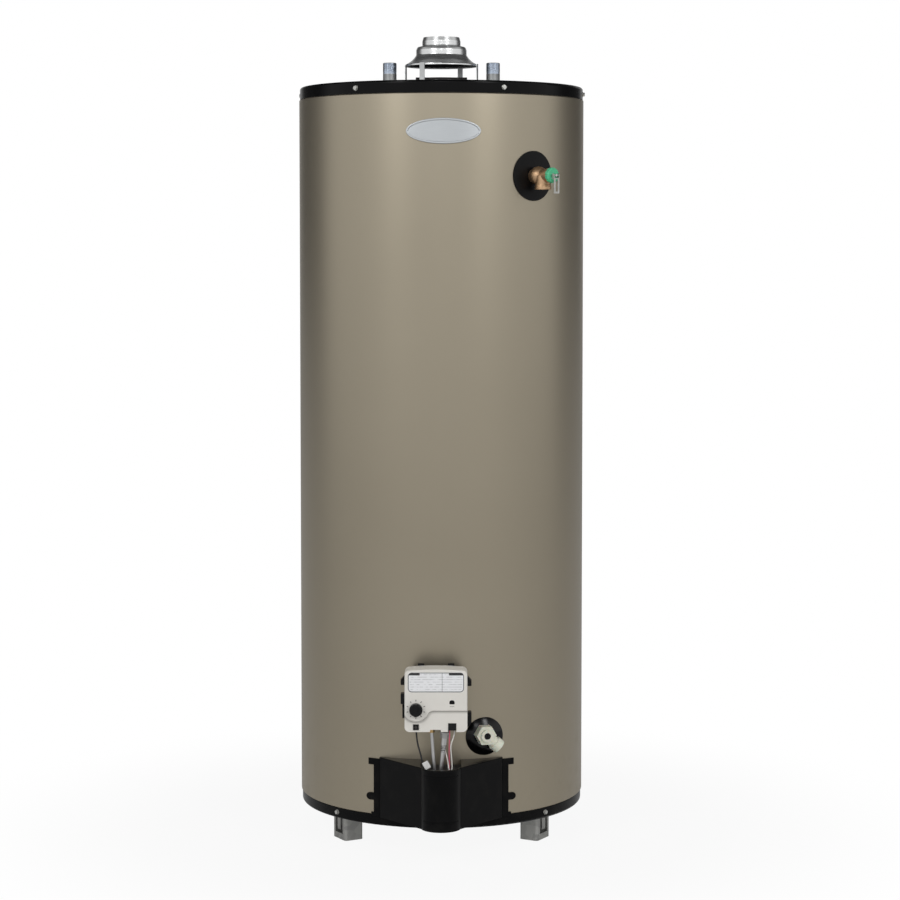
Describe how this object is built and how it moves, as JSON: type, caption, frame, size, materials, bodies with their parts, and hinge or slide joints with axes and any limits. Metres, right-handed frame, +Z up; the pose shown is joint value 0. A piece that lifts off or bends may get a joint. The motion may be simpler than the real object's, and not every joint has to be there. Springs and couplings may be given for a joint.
{
  "type": "gas tank water heater",
  "caption": "Upright gas storage water heater: insulated tank on feet, draft hood and pipe nipples on top, relief and drain valves, gas control above a prow-shaped burner cover.",
  "frame": {"origin": "on the floor, under the tank's axis", "axes": "+Z up along the tank's axis, the gas control faces -Y, the relief and drain valves are towards +X"},
  "size_m": [0.5624, 0.6712, 1.5665],
  "materials": {
    "jacket_paint": "satin baked enamel",
    "pan_paint": "gloss baked enamel",
    "foot_steel": "plain stamped steel",
    "screw_zinc": "zinc plated",
    "tank_steel": "glass lined steel, primed outside",
    "flue_steel": "heat darkened steel",
    "hood_steel": "galvanised sheet",
    "pipe_steel": "galvanised pipe",
    "dip_plastic": "moulded polyethylene",
    "anode_metal": "cast",
    "black_plastic": "moulded",
    "black_gloss": "glossy moulded",
    "foam": "rigid foam",
    "glass_fibre": "felted glass fibre",
    "badge_metal": "satin",
    "brass": "as cast",
    "green_plastic": "moulded",
    "bright_steel": "plated",
    "lever_steel": "stamped",
    "white_nylon": "moulded nylon",
    "control_casting": "black coated casting",
    "control_plastic": "fine moulded texture",
    "label_film": "printed film, bare",
    "light_lens": "smoked lens",
    "tube_aluminium": "drawn tube",
    "lead_red": "extruded insulation",
    "lead_white": "extruded insulation",
    "lead_black": "silicone rubber",
    "tag_paper": "bare tag",
    "cover_black": "gloss black enamel",
    "door_steel": "galvanised sheet",
    "grommet_rubber": "moulded silicone",
    "sight_glass": "clear",
    "burner_steel": "aluminised steel",
    "electrode_ceramic": "glazed ceramic"
  },
  "bodies": {
    "heater": {"anode_cap": "black_plastic", "anode_plug": "pipe_steel", "anode_rod": "anode_metal", "base_pan": "pan_paint", "burner_orifice": "brass", "burner_tube": "tube_aluminium", "burner_tube_nut": "bright_steel", "cold_nipple": "pipe_steel", "dip_tube": "dip_plastic", "door_gasket": "glass_fibre", "door_grommet": "grommet_rubber", "draft_hood": "hood_steel", "drain_escutcheon": "black_gloss", "drain_valve_body": "white_nylon", "flame_arrestor": "burner_steel", "flue_baffle": "flue_steel", "flue_tube": "flue_steel", "gas_control_body": "control_casting", "gas_control_cover": "control_plastic", "hood_legs": "hood_steel", "hot_nipple": "pipe_steel", "igniter_electrode": "electrode_ceramic", "igniter_lead": "lead_black", "inner_door": "door_steel", "insulation": "foam", "jacket": "jacket_paint", "label_panel": "label_film", "lead_tag": "tag_paper", "leg_screws": "screw_zinc", "legs": "foot_steel", "main_burner": "burner_steel", "oval_badge": "badge_metal", "pilot_bracket": "burner_steel", "pilot_burner": "burner_steel", "pilot_nut": "brass", "pilot_tube": "tube_aluminium", "relief_cap": "green_plastic", "relief_escutcheon": "black_plastic", "relief_valve_body": "brass", "sheet_screws": "screw_zinc", "sight_glass": "sight_glass", "skirt_insulation": "glass_fibre", "status_light": "light_lens", "tank_bottom_head": "tank_steel", "tank_shell": "tank_steel", "tank_spuds": "tank_steel", "tank_top_head": "tank_steel", "thermopile": "bright_steel", "thermopile_lead_red": "lead_red", "thermopile_lead_white": "lead_white", "thermopile_plug": "black_plastic", "top_pan": "pan_paint"},
    "relief_stem": {"relief_stem": "bright_steel", "relief_pin": "bright_steel"},
    "relief_lever": {"relief_lever": "lever_steel"},
    "drain_stem": {"drain_stem": "black_plastic"},
    "dial_spindle": {"dial_spindle": "bright_steel"},
    "dial_knob": {"dial_knob": "black_plastic"},
    "igniter_button": {"igniter_button": "black_plastic"},
    "burner_cover": {"burner_cover": "cover_black"}
  },
  "joints": [
    {"name": "cover_pull", "type": "slide", "parent": "heater", "child": "burner_cover", "axis": [0, -1, 0], "range_m": [0, 0.15]},
    {"name": "relief_lift", "type": "slide", "parent": "heater", "child": "relief_stem", "axis": [0.6225, -0.7826, 0], "range_m": [0, 0.004]},
    {"name": "relief_lever_swing", "type": "hinge", "parent": "relief_stem", "child": "relief_lever", "pos_m": [0.21346, -0.26836, 1.29], "axis": [-0.7826, -0.6225, 0], "range_deg": [0, 80]},
    {"name": "drain_turn", "type": "hinge", "parent": "heater", "child": "drain_stem", "pos_m": [0.08738, -0.30472, 0.241], "axis": [0.2756, -0.9613, 0], "range_deg": [0, 90]},
    {"name": "dial_push", "type": "slide", "parent": "heater", "child": "dial_spindle", "axis": [0, 1, 0], "range_m": [0, 0.003], "stiffness_N_per_m": 200, "springref_m": -0.0005},
    {"name": "dial_turn", "type": "hinge", "parent": "dial_spindle", "child": "dial_knob", "pos_m": [-0.046, -0.384, 0.306], "axis": [0, -1, 0], "range_deg": [0, 270]},
    {"name": "igniter_push", "type": "slide", "parent": "heater", "child": "igniter_button", "axis": [0, 1, 0], "range_m": [0, 0.004], "stiffness_N_per_m": 200, "springref_m": -0.0005}
  ],
  "couplings": [
    {"joint": "relief_lever_swing", "follows": "relief_lift", "rad_per_m": 349}
  ]
}
